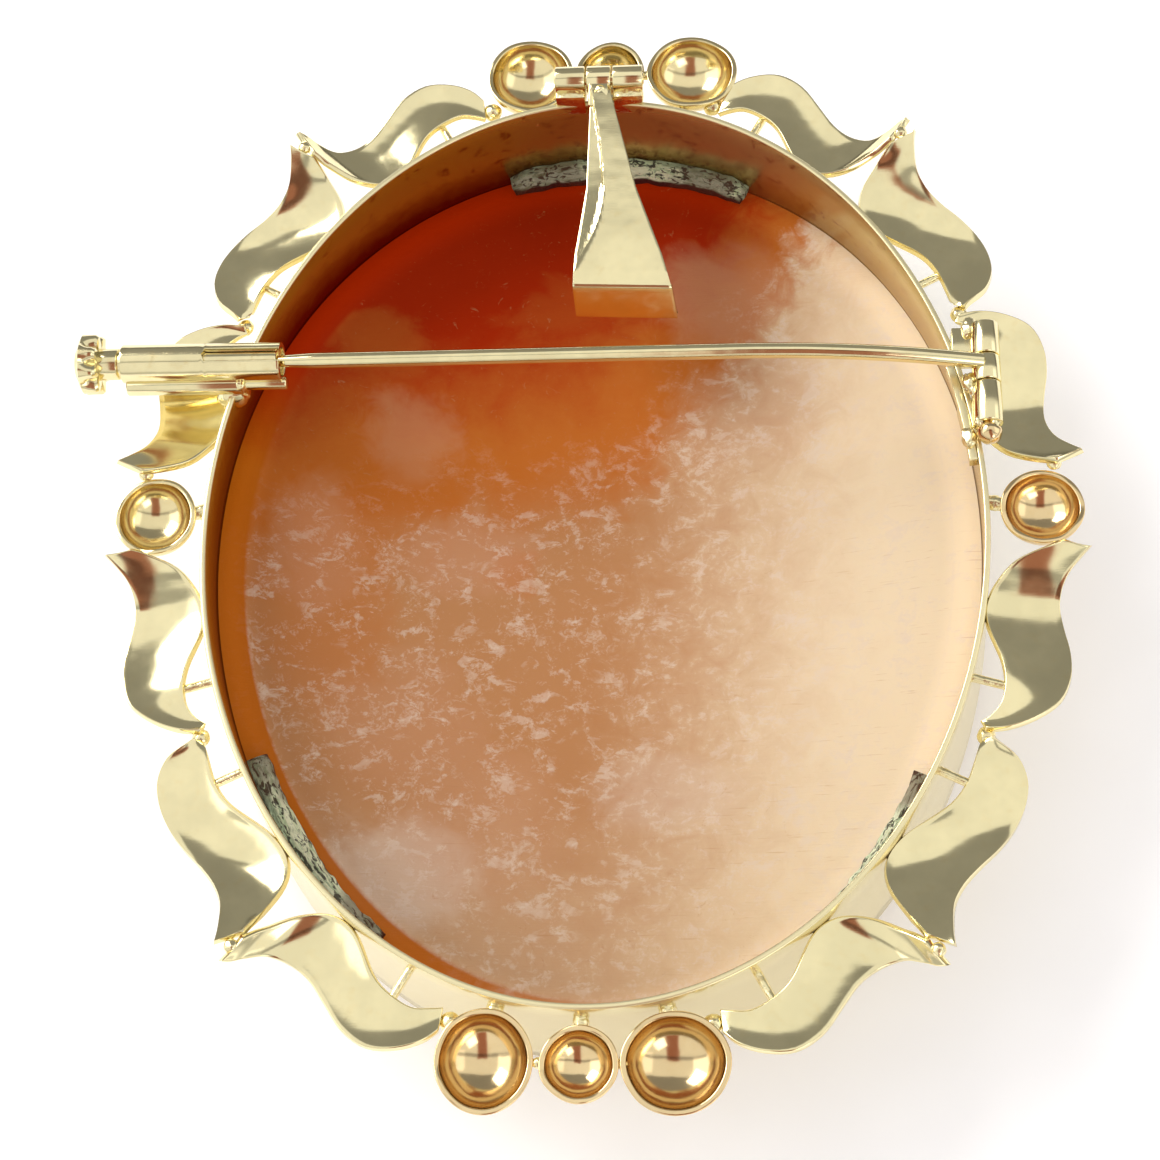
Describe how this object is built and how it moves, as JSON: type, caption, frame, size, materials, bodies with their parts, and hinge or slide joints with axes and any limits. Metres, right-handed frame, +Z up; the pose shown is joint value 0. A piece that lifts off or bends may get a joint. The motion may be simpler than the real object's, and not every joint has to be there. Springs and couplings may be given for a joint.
{
  "type": "cameo brooch",
  "caption": "Oval cameo brooch seen from its back: shell oval in a gilt collar ringed by scroll ribbons and hollow beads, with hinged pin, tube catch and fold-away bail.",
  "frame": {"origin": "on the floor the brooch lies on, below the middle of its bounding box", "axes": "+Z up, the way the back faces as the brooch lies face down; +Y towards the bail; +X towards the pin's hinge"},
  "size_m": [0.0514, 0.0586, 0.0126],
  "materials": {
    "gold": "polished rolled gold with worn, tarnished hollows",
    "shell": "polished helmet shell, orange to cream, finely scratched",
    "strip": "rough grey hand-filed soft solder",
    "pin": "polished"
  },
  "bodies": {
    "brooch": {"frame": "gold", "cameo": "shell", "strip_top": "strip", "strip_left": "strip", "strip_right": "strip", "hinge_rivet": "gold", "bail_rivet": "gold"},
    "pin": {"pin_stem": "pin"},
    "plunger": {"catch_plunger": "gold"},
    "bail": {"bail_loop": "gold"}
  },
  "joints": [
    {"name": "pin_open", "type": "hinge", "parent": "brooch", "child": "pin", "pos_m": [0.0209, 0.0075, 0.0105], "axis": [0, 1, 0], "range_deg": [0, 110]},
    {"name": "catch_slide", "type": "slide", "parent": "brooch", "child": "plunger", "axis": [-1, 0, 0], "range_m": [0, 0.0046]},
    {"name": "bail_fold", "type": "hinge", "parent": "brooch", "child": "bail", "pos_m": [0.00109, 0.0253, 0.01077], "axis": [-1, 0, 0], "range_deg": [0, 175]}
  ]
}
